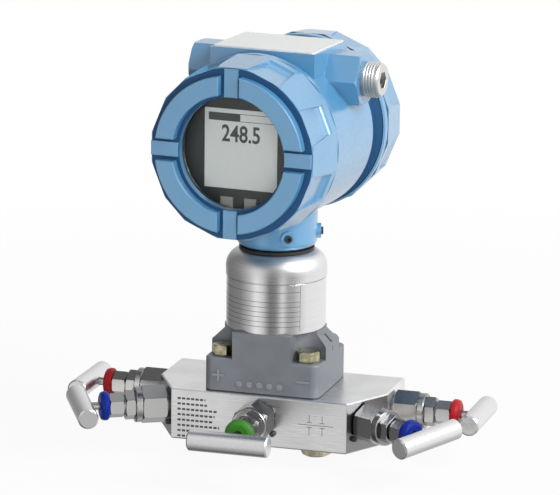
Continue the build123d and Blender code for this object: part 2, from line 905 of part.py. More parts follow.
# Display module, seen through the window
display_plane = to_front.offset(display_front)
with BuildPart() as display_module:
    with BuildSketch(display_plane):
        Circle(display_radius)
    extrude(amount=-display_depth)
    chamfer(faces().sort_by(axis_of(display_plane))[-1].edges(), 1.0)
    with BuildSketch(display_plane):
        Rectangle(screen_width + 2 * fit, screen_height + 2 * fit)
    extrude(amount=-screen_recess - screen_thickness, mode=Mode.SUBTRACT)
    with BuildSketch(display_plane):
        with Locations((button_shift, button_level)):
            with GridLocations(2 * button_half_spacing, 1, 2, 1):
                Rectangle(button_width + 2 * gap, button_height + 2 * gap)
    extrude(amount=-button_length - button_travel, mode=Mode.SUBTRACT)
finish(display_module, "display_module")

with BuildPart() as display_screen:
    with BuildSketch(display_plane.offset(-screen_recess)):
        Rectangle(screen_width, screen_height)
    extrude(amount=-screen_thickness)
finish(display_screen, "display_screen")

for side, name in ((-1, "display_button_left"), (1, "display_button_right")):
    with BuildPart() as button:
        with BuildSketch(display_plane.offset(button_proud)):
            with Locations((button_shift + side * button_half_spacing, button_level)):
                Rectangle(button_width, button_height)
        extrude(amount=-button_length)
        chamfer(faces().sort_by(axis_of(display_plane))[-1].edges(), 0.4)
    finish(button, name)

# Electronics board and the posts that carry it and the display
display_back = display_front - display_depth
with BuildPart() as display_posts:
    with BuildSketch(to_front.offset(-partition_front)):
        with PolarLocations(post_circle, post_count, start_angle=45):
            Circle(post_radius)
    extrude(amount=display_back + partition_front)
finish(display_posts, "display_posts")

with BuildPart() as electronics_board:
    with BuildSketch(to_front.offset(board_front)):
        Circle(board_radius)
        with PolarLocations(post_circle, post_count, start_angle=45):
            Circle(post_radius + fit, mode=Mode.SUBTRACT)
    extrude(amount=-board_thickness)
finish(electronics_board, "electronics_board")

# Terminal block in the rear compartment
terminal_plane = to_rear.offset(partition_back)
with BuildPart() as terminal_block:
    with BuildSketch(terminal_plane):
        with Locations((0, terminal_level)):
            Rectangle(terminal_width, terminal_height)
            fillet(vertices(), terminal_corner)
    extrude(amount=terminal_depth)
    with BuildSketch(terminal_plane.offset(terminal_depth)):
        with Locations((0, terminal_level)):
            with GridLocations(terminal_screw_pitch, 1, terminal_screw_count, 1):
                Circle(terminal_screw_radius * 0.5 + fit)
    extrude(amount=-terminal_depth / 2, mode=Mode.SUBTRACT)
finish(terminal_block, "terminal_block")

with BuildPart() as terminal_screws:
    face = terminal_plane.offset(terminal_depth)
    for index in range(terminal_screw_count):
        x = (index - (terminal_screw_count - 1) / 2) * terminal_screw_pitch
        place = Plane(origin=face.from_local_coords((x, terminal_level, 0)), z_dir=face.z_dir)
        turned(place, [
            (0.5 - terminal_depth / 2, 0),
            (0.5 - terminal_depth / 2, terminal_screw_radius * 0.5),
            (0, terminal_screw_radius * 0.5),
            (0, terminal_screw_radius),
            (terminal_screw_head, terminal_screw_radius),
            (terminal_screw_head, 0),
        ])
        with BuildSketch(place.offset(terminal_screw_head)):
            Rectangle(2 * terminal_screw_radius + cut_margin, terminal_screw_radius * 0.3)
        extrude(amount=-terminal_screw_head / 2, mode=Mode.SUBTRACT)
finish(terminal_screws, "terminal_screws")
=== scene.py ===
# %% [markdown]
# # A pressure transmitter on its manifold
#
# The frame already holds every machined and cast piece at its real size. This lesson dresses
# it: first the camera and the light, then one finish at a time, then the thin marks that no
# CAD model holds, such as the figures on the display.

from math import cos, pi, radians, sin

import bpy
import numpy as np
from mathutils import Matrix, Vector


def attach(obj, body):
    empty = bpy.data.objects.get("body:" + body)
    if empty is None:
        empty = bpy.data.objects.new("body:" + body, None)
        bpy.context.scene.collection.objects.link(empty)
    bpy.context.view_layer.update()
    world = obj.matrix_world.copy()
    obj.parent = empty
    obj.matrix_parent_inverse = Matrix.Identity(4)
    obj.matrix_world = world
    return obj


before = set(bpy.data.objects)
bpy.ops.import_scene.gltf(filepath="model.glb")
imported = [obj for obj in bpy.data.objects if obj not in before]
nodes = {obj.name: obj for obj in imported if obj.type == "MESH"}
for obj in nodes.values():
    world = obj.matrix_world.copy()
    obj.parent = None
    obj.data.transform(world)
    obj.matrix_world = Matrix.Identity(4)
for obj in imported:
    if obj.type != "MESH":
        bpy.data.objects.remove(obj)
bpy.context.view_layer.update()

# %% [markdown]
# ## The head's own directions
#
# The round head is turned a little on the module below it. Everything on the head is easier
# to place in its own directions: to the right of the display, backwards, and up.

# %% Directions of the head
MM = 0.001
HEAD_HEIGHT = 189.4 * MM
HEAD_TURN = radians(-5.6)
head_right = Vector((cos(HEAD_TURN), sin(HEAD_TURN), 0))
head_back = Vector((-sin(HEAD_TURN), cos(HEAD_TURN), 0))
head_up = Vector((0, 0, 1))
print("the head looks along", tuple(round(-c, 3) for c in head_back))

# %% [markdown]
# ## Camera
#
# A long lens far away keeps the sides of the manifold nearly parallel, as in the photograph.
# The camera is set by three angles round an aim point on the module's axis, because these
# can be read and changed more easily than a matrix.

# %% Camera
AIM = Vector((1.06, 3.28, 116.7)) * MM
DISTANCE = 2336 * MM
AZIMUTH = radians(16.61)
ELEVATION = radians(13.14)
ROLL = radians(0.73)
LENS_MM = 244.4
SENSOR_MM = 36
SIGHT_LIMIT = 20

camera_data = bpy.data.cameras.new("camera")
camera_data.lens = LENS_MM
camera_data.sensor_width = SENSOR_MM
camera_data.clip_end = SIGHT_LIMIT
camera = bpy.data.objects.new("camera", camera_data)
bpy.context.scene.collection.objects.link(camera)
bpy.context.scene.camera = camera
backward = Vector((
    sin(AZIMUTH) * cos(ELEVATION),
    -cos(AZIMUTH) * cos(ELEVATION),
    sin(ELEVATION),
))
level = Vector((cos(AZIMUTH), sin(AZIMUTH), 0))
right = level * cos(ROLL) + backward.cross(level) * sin(ROLL)
above = backward.cross(right)
turned = Matrix((right, above, backward)).transposed().to_4x4()
camera.matrix_world = Matrix.Translation(AIM + backward * DISTANCE) @ turned
print("camera at", tuple(round(c, 3) for c in camera.location))

# %% [markdown]
# ## Light
#
# The photograph has its key light on the right: the right flank of the head is clearly brighter
# than its face. Weaker lamps in front, above and behind fill the rest. They are area lamps,
# because the size of a lamp is what makes a shadow soft. Metal mirrors only the key lamp,
# because the surround in the next step holds everything else that it should mirror.

# %% Lamps
LIGHT_TARGET = Vector((0, 0, 120)) * MM
# name, place in millimetres, width in metres, watts, whether glossy surfaces mirror it
LAMPS = (
    ("key", (1300, -350, 1050), 0.8, 27, True),
    ("fill", (500, -1350, 350), 0.8, 13, False),
    ("top", (0, 200, 1300), 1.0, 3, False),
    ("back", (-900, 1300, 260), 1.0, 16, False),
)
for name, place_mm, width, watts, mirrored in LAMPS:
    data = bpy.data.lights.new(name, "AREA")
    data.size = width
    data.energy = watts
    lamp = bpy.data.objects.new(name, data)
    lamp.visible_glossy = mirrored
    bpy.context.scene.collection.objects.link(lamp)
    place = Vector(place_mm) * MM
    aim = (LIGHT_TARGET - place).to_track_quat("-Z", "Y").to_matrix().to_4x4()
    lamp.matrix_world = Matrix.Translation(place) @ aim
print("lamps:", [row[0] for row in LAMPS])

# %% [markdown]
# ## The surround
#
# The camera sees plain white. Metal sees more than that: in the photograph the round can shows
# two bright strips, a dark stretch between them and a broad bright right side. A mirror normal
# turns by half as much as what it shows, so each place on the can gives one compass angle, and
# the angles below are read in that way. They are degrees from straight ahead, to the right.
# Directions well below the part have under half of that light, so nuts and handles get darker
# undersides. Cards round the part could do the same, but a ramp over the compass angle needs
# no objects, and each of its stops can be changed alone.

# %% What metal sees
# WORLD_GREY lights matt surfaces from all round. The BELOW values are heights of a direction,
# from -1 straight down to 0 level, and the share of light that is left there.
WORLD_GREY = 0.15
STUDIO_GAIN = 1.2
BELOW_FROM, BELOW_TO, BELOW_SHARE = -0.75, -0.3, 0.45
STUDIO = (
    (-180, 0.85), (-150, 0.6), (-124, 0.18), (-73, 0.24), (-45, 0.55), (-31, 1.0),
    (-15, 0.74), (1, 0.16), (19, 0.26), (31, 0.92), (43, 0.38), (56, 0.42),
    (75, 0.75), (90, 0.92), (140, 0.95), (180, 0.85),
)
print("studio angles:", len(STUDIO))

# %% Surround nodes
# Colour sockets and number sockets have their own places in a Mix node.
MIX_NUMBERS, MIX_COLOURS, MIX_COLOUR_OUT = (2, 3), (6, 7), 2
world = bpy.data.worlds.new("surround")
bpy.context.scene.world = world
world.use_nodes = True
world_tree = world.node_tree


def world_node(kind, **settings):
    """A node of the surround with its settings."""
    node = world_tree.nodes.new(kind)
    for key, value in settings.items():
        setattr(node, key, value)
    return node


direction = world_node("ShaderNodeTexCoord")
parts = world_node("ShaderNodeSeparateXYZ")
forward = world_node("ShaderNodeMath", operation="MULTIPLY")
forward.inputs[1].default_value = -1
compass = world_node("ShaderNodeMath", operation="ARCTAN2")
turn_share = world_node("ShaderNodeMapRange")
turn_share.inputs["From Min"].default_value = -pi
turn_share.inputs["From Max"].default_value = pi
studio = world_node("ShaderNodeValToRGB")
steps = studio.color_ramp.elements
# A new stop gets its place and grey in the loop below.
while len(steps) < len(STUDIO):
    steps.new(0.5)
for element, (angle, level_there) in zip(steps, STUDIO):
    element.position = (angle + 180) / 360
    element.color = (level_there, level_there, level_there, 1)
paths = world_node("ShaderNodeLightPath")
clear = world_node("ShaderNodeMath", operation="MAXIMUM")
plain = world_node("ShaderNodeMapRange")
plain.inputs["To Min"].default_value = WORLD_GREY
chosen = world_node("ShaderNodeMix")
studio_level = world_node("ShaderNodeMath", operation="MULTIPLY")
below = world_node("ShaderNodeMapRange")
below.inputs["From Min"].default_value = BELOW_FROM
below.inputs["From Max"].default_value = BELOW_TO
below.inputs["To Min"].default_value = BELOW_SHARE * STUDIO_GAIN
below.inputs["To Max"].default_value = STUDIO_GAIN
for source, target in (
    (direction.outputs["Generated"], parts.inputs[0]),
    (parts.outputs["Y"], forward.inputs[0]),
    (parts.outputs["X"], compass.inputs[0]),
    (forward.outputs[0], compass.inputs[1]),
    (compass.outputs[0], turn_share.inputs["Value"]),
    (turn_share.outputs["Result"], studio.inputs["Fac"]),
    (paths.outputs["Is Camera Ray"], clear.inputs[0]),
    (paths.outputs["Is Transmission Ray"], clear.inputs[1]),
    (clear.outputs[0], plain.inputs["Value"]),
    (paths.outputs["Is Glossy Ray"], chosen.inputs["Factor"]),
    (plain.outputs["Result"], chosen.inputs[MIX_NUMBERS[0]]),
    (parts.outputs["Z"], below.inputs["Value"]),
    (studio.outputs["Color"], studio_level.inputs[0]),
    (below.outputs["Result"], studio_level.inputs[1]),
    (studio_level.outputs[0], chosen.inputs[MIX_NUMBERS[1]]),
    (chosen.outputs[0], world_tree.nodes["Background"].inputs["Strength"]),
):
    world_tree.links.new(source, target)
world_tree.nodes["Background"].inputs["Color"].default_value = (1, 1, 1, 1)
bpy.context.scene.view_settings.view_transform = "Standard"
print("surround nodes:", len(world_tree.nodes))

# %% [markdown]
# ## Finishes
#
# A finish is a small chain of nodes. Texture coordinates are in metres, so a grain of half a
# millimetre needs a scale of about two thousand. In most finishes one noise moves the bump and
# the roughness, and often a noise moves the colour a little too: that is what keeps a surface
# from looking like plastic. The same few chains come back in nearly all of them, so they are
# functions.

# %% A new finish
def new_finish(name, metallic=0.0, colour=None, roughness=None):
    """A material with one shader and Object coordinates. What a grain sets later stays open."""
    material = bpy.data.materials.new(name)
    material.use_nodes = True
    tree = material.node_tree
    shader = tree.nodes["Principled BSDF"]
    shader.inputs["Metallic"].default_value = metallic
    if colour:
        shader.inputs["Base Color"].default_value = (*colour, 1)
    if roughness:
        shader.inputs["Roughness"].default_value = roughness
    place = tree.nodes.new("ShaderNodeTexCoord")
    return material, tree, shader, place.outputs["Object"]


# %% Noise and ranges
def add_noise(tree, place, scale, detail=3, stretch=(1, 1, 1)):
    """Noise on Object coordinates; a stretch above 1 packs the grain tighter along an axis."""
    mapping = tree.nodes.new("ShaderNodeMapping")
    mapping.inputs["Scale"].default_value = stretch
    noise = tree.nodes.new("ShaderNodeTexNoise")
    noise.inputs["Scale"].default_value = scale
    noise.inputs["Detail"].default_value = detail
    tree.links.new(place, mapping.inputs["Vector"])
    tree.links.new(mapping.outputs["Vector"], noise.inputs["Vector"])
    return noise.outputs["Fac"]


def map_range(tree, value, from_low, from_high, low=0, high=1):
    """A straight ramp from low to high, level beyond its ends."""
    ramp = tree.nodes.new("ShaderNodeMapRange")
    limits = {"From Min": from_low, "From Max": from_high, "To Min": low, "To Max": high}
    for socket, limit in limits.items():
        ramp.inputs[socket].default_value = limit
    tree.links.new(value, ramp.inputs["Value"])
    return ramp.outputs["Result"]


NOISE_LOW, NOISE_HIGH = 0.35, 0.65


def spread(tree, value, low=0, high=1):
    """Most of the noise lies between its two usual ends: this spreads it over low to high."""
    return map_range(tree, value, NOISE_LOW, NOISE_HIGH, low, high)


# %% Sums, bands and lengths
def calc(tree, operation, first, second=None):
    """One Math node on sockets or plain numbers."""
    node = tree.nodes.new("ShaderNodeMath")
    node.operation = operation
    for socket, value in zip(node.inputs, (first, second)):
        if isinstance(value, (int, float)):
            socket.default_value = value
        elif value is not None:
            tree.links.new(value, socket)
    return node.outputs[0]


def band(tree, value, low_mm, high_mm, soft_mm=0.3):
    """1 where a distance lies between two millimetre values, with a soft edge."""
    rise = map_range(tree, value, (low_mm - soft_mm) * MM, low_mm * MM)
    fall = map_range(tree, value, high_mm * MM, (high_mm + soft_mm) * MM, 1, 0)
    return calc(tree, "MULTIPLY", rise, fall)


def hypotenuse(tree, first, second):
    """The root of first squared plus second squared."""
    squares = [calc(tree, "MULTIPLY", side, side) for side in (first, second)]
    return calc(tree, "SQRT", calc(tree, "ADD", *squares))


def dot(tree, vector, direction):
    """How far a vector reaches along a direction."""
    node = tree.nodes.new("ShaderNodeVectorMath")
    node.operation = "DOT_PRODUCT"
    node.inputs[1].default_value = direction
    tree.links.new(vector, node.inputs[0])
    return node.outputs["Value"]


# %% Colours
def tint(tree, value, first, second):
    """A colour between two, by a value from 0 to 1. Each is an RGB triple or a socket."""
    mix = tree.nodes.new("ShaderNodeMix")
    mix.data_type = "RGBA"
    for index, colour in zip(MIX_COLOURS, (first, second)):
        if isinstance(colour, tuple):
            mix.inputs[index].default_value = (*colour, 1)
        else:
            tree.links.new(colour, mix.inputs[index])
    tree.links.new(value, mix.inputs["Factor"])
    return mix.outputs[MIX_COLOUR_OUT]


def mottle(tree, noise, first, second):
    """A colour that wanders between two with the noise."""
    return tint(tree, spread(tree, noise), first, second)


# %% Grain
EDGE_MM = 0.4
EDGE_SAMPLES = 4


def add_bump(tree, shader, value, depth_mm, strength, edge_mm=EDGE_MM):
    """Grain in the surface, over edges that are rounded by edge_mm for the light alone."""
    edge = tree.nodes.new("ShaderNodeBevel")
    edge.samples = EDGE_SAMPLES
    edge.inputs["Radius"].default_value = edge_mm * MM
    bump = tree.nodes.new("ShaderNodeBump")
    bump.inputs["Distance"].default_value = depth_mm * MM
    bump.inputs["Strength"].default_value = strength
    tree.links.new(value, bump.inputs["Height"])
    tree.links.new(edge.outputs["Normal"], bump.inputs["Normal"])
    tree.links.new(bump.outputs["Normal"], shader.inputs["Normal"])


def grained(name, rough, scale, detail=3, stretch=(1, 1, 1), bump_mm=0.01, bump=0.1,
            edge_mm=EDGE_MM, **settings):
    """A finish whose grain moves the roughness between two values and lifts the surface."""
    material, tree, shader, place = new_finish(name, **settings)
    grain = add_noise(tree, place, scale, detail, stretch)
    tree.links.new(spread(tree, grain, *rough), shader.inputs["Roughness"])
    add_bump(tree, shader, grain, bump_mm, bump, edge_mm)
    return material, tree, shader, place


# %% Dressing CAD pieces
def dress(material, *names):
    """Gives CAD pieces their finish."""
    for name in names:
        slots = nodes[name].data.materials
        slots.clear()
        slots.append(material)
    print(material.name, "on", ", ".join(names))


# %% [markdown]
# ### Machined stainless steel
#
# The manifold block was milled and then brushed lightly, and the grain runs along the block.
# Its two slanted faces mirror dark things and look much darker: that is a painted reflection.
# A second material would need those faces by number. Instead the colour asks each place which
# way it faces, and darkens where that is close to the slant.

# %% Milled block
SLANT_NORMAL = (0.878, -0.479)
SLANT_LIMITS = (0.94, 0.97)
MILLED_LOW, MILLED_HIGH = (0.69, 0.69, 0.695), (0.79, 0.79, 0.79)
MILLED_SLANT_DARK_REFLECTION = (0.24, 0.24, 0.245)
MILLED_PATCHES = 30
milled, tree, shader, place = grained(
    "milled_stainless", metallic=1.0, rough=(0.26, 0.38), scale=60, detail=4,
    stretch=(1, 22, 22), bump_mm=0.02, bump=0.1, edge_mm=0.5,
)
facing = tree.nodes.new("ShaderNodeTexCoord").outputs["Normal"]
aside = calc(tree, "ABSOLUTE", dot(tree, facing, (1, 0, 0)))
across = calc(tree, "MULTIPLY", aside, SLANT_NORMAL[0])
towards = dot(tree, facing, (0, SLANT_NORMAL[1], 0))
slanted = map_range(tree, calc(tree, "ADD", across, towards), *SLANT_LIMITS)
patches = add_noise(tree, place, MILLED_PATCHES, 2)
milled_colour = mottle(tree, patches, MILLED_LOW, MILLED_HIGH)
# painted dark reflection on the two slanted faces
tree.links.new(tint(tree, slanted, milled_colour, MILLED_SLANT_DARK_REFLECTION), shader.inputs["Base Color"])
dress(milled, "manifold_block")

# %% [markdown]
# ### Turned stainless steel
#
# Bonnets, nuts and stems come off a lathe. They are small, so a very fine even grain is
# enough. The flats that look up or far aside mirror dark things, and that contrast makes them
# read as steel, so those directions get a darker colour: a painted dark reflection.

# %% Turned pieces
VALVES = ("equalise", "isolate_left", "isolate_right", "vent_left", "vent_right")
TURNED, TURNED_DARK = (0.66, 0.655, 0.64), (0.27, 0.27, 0.275)
# direction, and the two ends of its ramp from light to dark
DARK_WAYS = (((0, 0, 1), 0.3, 0.6), ((-1, 0, 0), 0.3, 0.45), ((1, 0, 0), 0.6, 0.75))
turned_steel, tree, shader, _ = grained(
    "turned_stainless", metallic=1.0, rough=(0.18, 0.26), scale=2500, detail=2,
    bump_mm=0.005, edge_mm=0.3,
)
facing = tree.nodes.new("ShaderNodeTexCoord").outputs["Normal"]
shaded = 0
for way, light_to, dark_from in DARK_WAYS:
    turned_there = map_range(tree, dot(tree, facing, way), light_to, dark_from)
    shaded = calc(tree, "MAXIMUM", shaded, turned_there)
# painted dark reflection on the flats that look up or far aside
tree.links.new(tint(tree, shaded, TURNED, TURNED_DARK), shader.inputs["Base Color"])
dress(turned_steel, "bonnet_lock_nuts", "gland_nuts", "window_retainer", "display_posts")
dress(turned_steel, "terminal_screws")
for valve in VALVES:
    dress(turned_steel, f"{valve}_bonnet", f"{valve}_stem", f"{valve}_tip")

# %% [markdown]
# ### Satin handles
#
# The T-bars are tumbled, so they are duller than the nuts beside them. A single higher
# roughness could say that, but it looks like plastic, so a fine grain moves it up and down.

# %% Handles
satin = grained(
    "satin_steel", metallic=1.0, colour=(0.72, 0.72, 0.725), rough=(0.25, 0.36), scale=1400,
    detail=4, bump_mm=0.003, bump=0.08,
)[0]
dress(satin, *[f"{valve}_handle" for valve in VALVES])

# %% [markdown]
# ### Coloured caps
#
# Moulded plastic with a slight bloom: red for vents, blue for isolation, green for the
# equaliser. Only the colour differs, so one loop makes the three. The specular level is low,
# because a strong pale shine would wash out such deep colours.

# %% Caps
CAP_SPECULAR = 0.25
CAP_COLOURS = {
    "equalise": (0.04, 0.19, 0.022),
    "isolate": (0.001, 0.014, 0.2),
    "vent": (0.36, 0.01, 0.014),
}
for kind, colour in CAP_COLOURS.items():
    plastic, _, shader, _ = grained(
        f"{kind}_plastic", colour=colour, rough=(0.3, 0.46), scale=700, bump_mm=0.02, bump=0.2,
    )
    shader.inputs["Specular IOR Level"].default_value = CAP_SPECULAR
    dress(plastic, *[f"{valve}_cap" for valve in VALVES if valve.startswith(kind)])

# %% [markdown]
# ### Brushed sensor module
#
# The can is brushed while it turns, so its lines run round it. Noise that changes fast along
# Z and slowly across gives just that. The shader's own anisotropy, which would streak the shine
# but leave the colour alone, is left at zero. The dome is duller, because the brush slides off
# it.

# %% Sensor module
DOME_FROM, DOME_TO = 101 * MM, 112 * MM
DOME_DULLER = 0.22
CAN_LOW, CAN_HIGH = (0.66, 0.66, 0.66), (0.72, 0.72, 0.72)
CAN_ROUGH = (0.16, 0.26)
BRUSH_LINES, BRUSH_STRETCH = 30, (1, 1, 80)
brushed, tree, shader, place = new_finish("brushed_can", metallic=1.0)
lines = add_noise(tree, place, BRUSH_LINES, 4, BRUSH_STRETCH)
tree.links.new(mottle(tree, lines, CAN_LOW, CAN_HIGH), shader.inputs["Base Color"])
dome = map_range(tree, dot(tree, place, (0, 0, 1)), DOME_FROM, DOME_TO, 0, DOME_DULLER)
brushed_rough = calc(tree, "ADD", dome, spread(tree, lines, *CAN_ROUGH))
tree.links.new(brushed_rough, shader.inputs["Roughness"])
add_bump(tree, shader, lines, depth_mm=0.01, strength=0.15)
dress(brushed, "sensor_module")

# %% [markdown]
# ### Cast flange
#
# A grey casting with the fine pebble of its mould. The raised marks on its front are lighter on
# their faces and painted dark round their walls as painted shade, and a dark line runs round the
# foot. These could be painted on an image, but here they follow how far forward and how high a
# point lies, so they fit the casting without one.

# %% Flange casting
# Places along Y for the marks and heights for the foot, in millimetres.
MARK_WALLS = (-31.5, -31.05)
MARK_FACES = (-31.8, -31.55)
FOOT = (31.7, 32.25)
CAST_LOW, CAST_HIGH = (0.165, 0.178, 0.195), (0.2, 0.215, 0.235)
CAST_LIGHTER_FACES, CAST_DARK_LINES = (0.25, 0.268, 0.29), (0.025, 0.027, 0.03)
CAST_ROUGH = (0.42, 0.56)
PEBBLE, CAST_PATCHES = 1100, 60
cast, tree, shader, place = new_finish("grey_casting", metallic=0.25)
pebble = add_noise(tree, place, PEBBLE)
patches = add_noise(tree, place, CAST_PATCHES)
depth = dot(tree, place, (0, 1, 0))
lighter_faces = band(tree, depth, *MARK_FACES, soft_mm=0.03)
casting = tint(tree, lighter_faces, mottle(tree, patches, CAST_LOW, CAST_HIGH), CAST_LIGHTER_FACES)
# painted shade round the walls of the raised marks; the foot gets a dark line
walls = band(tree, depth, *MARK_WALLS, soft_mm=0.03)
foot = band(tree, dot(tree, place, (0, 0, 1)), *FOOT, soft_mm=0.2)
dark_lines = calc(tree, "MAXIMUM", walls, foot)
tree.links.new(tint(tree, dark_lines, casting, CAST_DARK_LINES), shader.inputs["Base Color"])
tree.links.new(spread(tree, patches, *CAST_ROUGH), shader.inputs["Roughness"])
add_bump(tree, shader, pebble, depth_mm=0.06, strength=0.3, edge_mm=0.3)
dress(cast, "process_flange")

# %% [markdown]
# ### Flange bolts and port plugs
#
# Passivated steel keeps a faint yellow to olive film that is thick in one place and thin in
# the next, so the colour wanders with a coarse noise while the roughness stays even.

# %% Flange bolts and port plugs
BOLT_LOW, BOLT_HIGH = (0.26, 0.26, 0.16), (0.56, 0.5, 0.34)
BOLT_GRAIN = 300
bolts, tree, shader, place = new_finish("passivated_bolts", metallic=1.0, roughness=0.26)
grain = add_noise(tree, place, BOLT_GRAIN)
tree.links.new(mottle(tree, grain, BOLT_LOW, BOLT_HIGH), shader.inputs["Base Color"])
add_bump(tree, shader, grain, depth_mm=0.01, strength=0.1)
dress(bolts, "flange_bolts", "process_port_plugs")

# %% [markdown]
# ### Blue coat
#
# The housing and its covers are aluminium castings under a thick glossy coat. The coat has a
# slight orange peel, in bump and in roughness. In the recess of the front cover and in the groove
# before the rear one it is matt and painted darker as painted shade, and the joint at the end of
# that groove is painted nearly black as painted shade in the gap. These places are rings round
# the head's axis, so two distances are enough to find them: how far along the axis, and how far
# from it.

# %% Housing paint
# Places ahead of the head's middle, and radii round its axis, in millimetres.
FACE_RECESS, FACE_RADII = (72.6, 73.3), (34.0, 51.6)
GROOVE, GROOVE_RADII = (-39.8, -24.0), (0, 53.2)
JOINT, JOINT_SOFT = (-40.3, -39.6), 0.15
COAT_LIGHT, COAT_DEEP = (0.08, 0.255, 0.45), (0.072, 0.24, 0.425)
COAT_RECESS_SHADE, COAT_JOINT_SHADE = (0.014, 0.065, 0.16), (0.006, 0.012, 0.02)
COAT_IOR, COAT_ROUGH = 1.65, 0.2
OPEN_SPECULAR, RECESS_GLOSS = 0.5, 0.1
COAT_PATCHES = 25
coat, tree, shader, place = grained(
    "blue_coat", rough=(0.32, 0.42), scale=420, detail=2, bump_mm=0.03, bump=0.2, edge_mm=0.6,
)
centred = tree.nodes.new("ShaderNodeVectorMath")
centred.operation = "SUBTRACT"
centred.inputs[1].default_value = (0, 0, HEAD_HEIGHT)
tree.links.new(place, centred.inputs[0])
ahead, aside, up = [
    dot(tree, centred.outputs[0], tuple(way)) for way in (-head_back, head_right, head_up)
]
radius = hypotenuse(tree, aside, up)


def ring(along_mm, radii_mm, soft_mm=0.3):
    """1 between two places along the head's axis and between two radii round it."""
    along_part = band(tree, ahead, *along_mm, soft_mm)
    return calc(tree, "MULTIPLY", along_part, band(tree, radius, *radii_mm))


# painted shade: darker colour in the recess and the groove, nearly black in the joint
recess_and_groove = calc(tree, "MAXIMUM", ring(FACE_RECESS, FACE_RADII), ring(GROOVE, GROOVE_RADII))
open_coat = mottle(tree, add_noise(tree, place, COAT_PATCHES, 2), COAT_LIGHT, COAT_DEEP)
recess_shaded = tint(tree, recess_and_groove, open_coat, COAT_RECESS_SHADE)
joint_shaded = tint(tree, ring(JOINT, GROOVE_RADII, JOINT_SOFT), recess_shaded, COAT_JOINT_SHADE)
tree.links.new(joint_shaded, shader.inputs["Base Color"])
for socket, open_level in (("Coat Weight", 1), ("Specular IOR Level", OPEN_SPECULAR)):
    tree.links.new(map_range(tree, recess_and_groove, 0, 1, open_level, RECESS_GLOSS), shader.inputs[socket])
shader.inputs["IOR"].default_value = COAT_IOR
shader.inputs["Coat IOR"].default_value = COAT_IOR
shader.inputs["Coat Roughness"].default_value = COAT_ROUGH
dress(coat, "electronics_housing", "front_cover", "rear_cover")

# %% [markdown]
# ### Rubber, plastic and other plain pieces
#
# These have no shine worth a recipe of their own, so one function makes them all, and a table
# says what differs.

# %% Plain pieces
DULL_SPREAD = 0.08
BUTTONS = ("display_button_left", "display_button_right")


def dull(name, colour, roughness, scale):
    """A moulded or painted surface with a soft grain."""
    rough = (roughness - DULL_SPREAD, roughness + DULL_SPREAD)
    return grained(name, colour=colour, rough=rough, scale=scale, bump_mm=0.03, bump=0.3)[0]


# name, colour, middle roughness, scale of the grain, pieces
PLAIN_PIECES = (
    ("black_rubber", (0.012, 0.012, 0.012), 0.6, 900, ("neck_seal", "front_seal", "rear_seal")),
    ("black_plastic", (0.013, 0.014, 0.015), 0.45, 1200, ("display_module", "terminal_block")),
    ("black_oxide", (0.025, 0.025, 0.027), 0.4, 900, ("neck_set_screws", "bonnet_lock_pins")),
    ("white_packing", (0.8, 0.8, 0.78), 0.6, 900, ("stem_packings", "flange_seals")),
    ("button_plastic", (0.3, 0.29, 0.28), 0.5, 900, BUTTONS),
    ("board_coat", (0.02, 0.14, 0.05), 0.35, 500, ("electronics_board",)),
    ("plate_white", (0.74, 0.75, 0.75), 0.5, 500, ("top_plate",)),
)
for name, colour, roughness, scale, pieces in PLAIN_PIECES:
    dress(dull(name, colour, roughness, scale), *pieces)

# %% [markdown]
# ### Window and screen
#
# A thick pane, clear with the faint green of plain glass, and behind it a liquid crystal
# screen of a neutral grey whose cells show as a very fine grain. The pane bends and mirrors
# light less than real glass does, which keeps the screen behind it readable.

# %% Glass
GLASS_IOR = 1.2
GLASS_TINT = (0.97, 0.99, 0.98)
glass, _, shader, _ = new_finish("window_glass", colour=GLASS_TINT, roughness=0.02)
shader.inputs["Transmission Weight"].default_value = 1.0
shader.inputs["IOR"].default_value = GLASS_IOR
dress(glass, "window_glass")

# %% Screen
SCREEN_LOW, SCREEN_HIGH = (0.54, 0.54, 0.535), (0.6, 0.6, 0.595)
SCREEN_CELLS = 1600
screen, tree, shader, place = new_finish("liquid_crystal", roughness=0.35)
cells = add_noise(tree, place, SCREEN_CELLS, 1)
tree.links.new(mottle(tree, cells, SCREEN_LOW, SCREEN_HIGH), shader.inputs["Base Color"])
dress(screen, "display_screen")

# %% [markdown]
# ## Thin marks
#
# What follows has no thickness worth a CAD solid: the figures of the display, the thread on
# the conduit plug, the ruled rows on the can and the engraving on the block. All but the digits
# are worked out as arrays of points, because a formula is easier to change than placed vertices.

# %% Helpers for surfaces
def add_piece(name, points, faces, material, body, smooth=False):
    """A mesh at the origin that rides on a body of the frame."""
    mesh = bpy.data.meshes.new(name)
    mesh.from_pydata(points.tolist(), [], faces.tolist())
    mesh.polygons.foreach_set("use_smooth", np.full(len(mesh.polygons), smooth))
    mesh.materials.append(material)
    piece = bpy.data.objects.new(name, mesh)
    bpy.context.scene.collection.objects.link(piece)
    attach(piece, body)
    print(name, "faces:", len(faces))


def grid_faces(rows, columns, start=0):
    """Quads between neighbours of a grid of points that is stored row by row.

    Point number = start + row * columns + column. A quad joins a point, the next one, and the
    same two in the next row.
    """
    first = (np.arange(rows - 1)[:, None] * columns + np.arange(columns - 1)).ravel() + start
    return np.column_stack((first, first + 1, first + columns + 1, first + columns))


def flat_marks(origin, right, up, rectangles):
    """Points and quads of rectangles (left, bottom, right, top) in millimetres on a plane.

    Point = origin + sideways * right + upwards * up, for the four corners of each rectangle.
    """
    sideways = rectangles[:, [0, 2, 2, 0]].reshape(-1, 1)
    upwards = rectangles[:, [1, 1, 3, 3]].reshape(-1, 1)
    points = (np.array(origin) + sideways * np.array(right) + upwards * np.array(up)) * MM
    return points, np.arange(len(points)).reshape(-1, 4)


etched = dull("etched_marks", colour=(0.06, 0.06, 0.062), roughness=0.5, scale=900)
ink = dull("display_ink", colour=(0.035, 0.037, 0.035), roughness=0.5, scale=900)

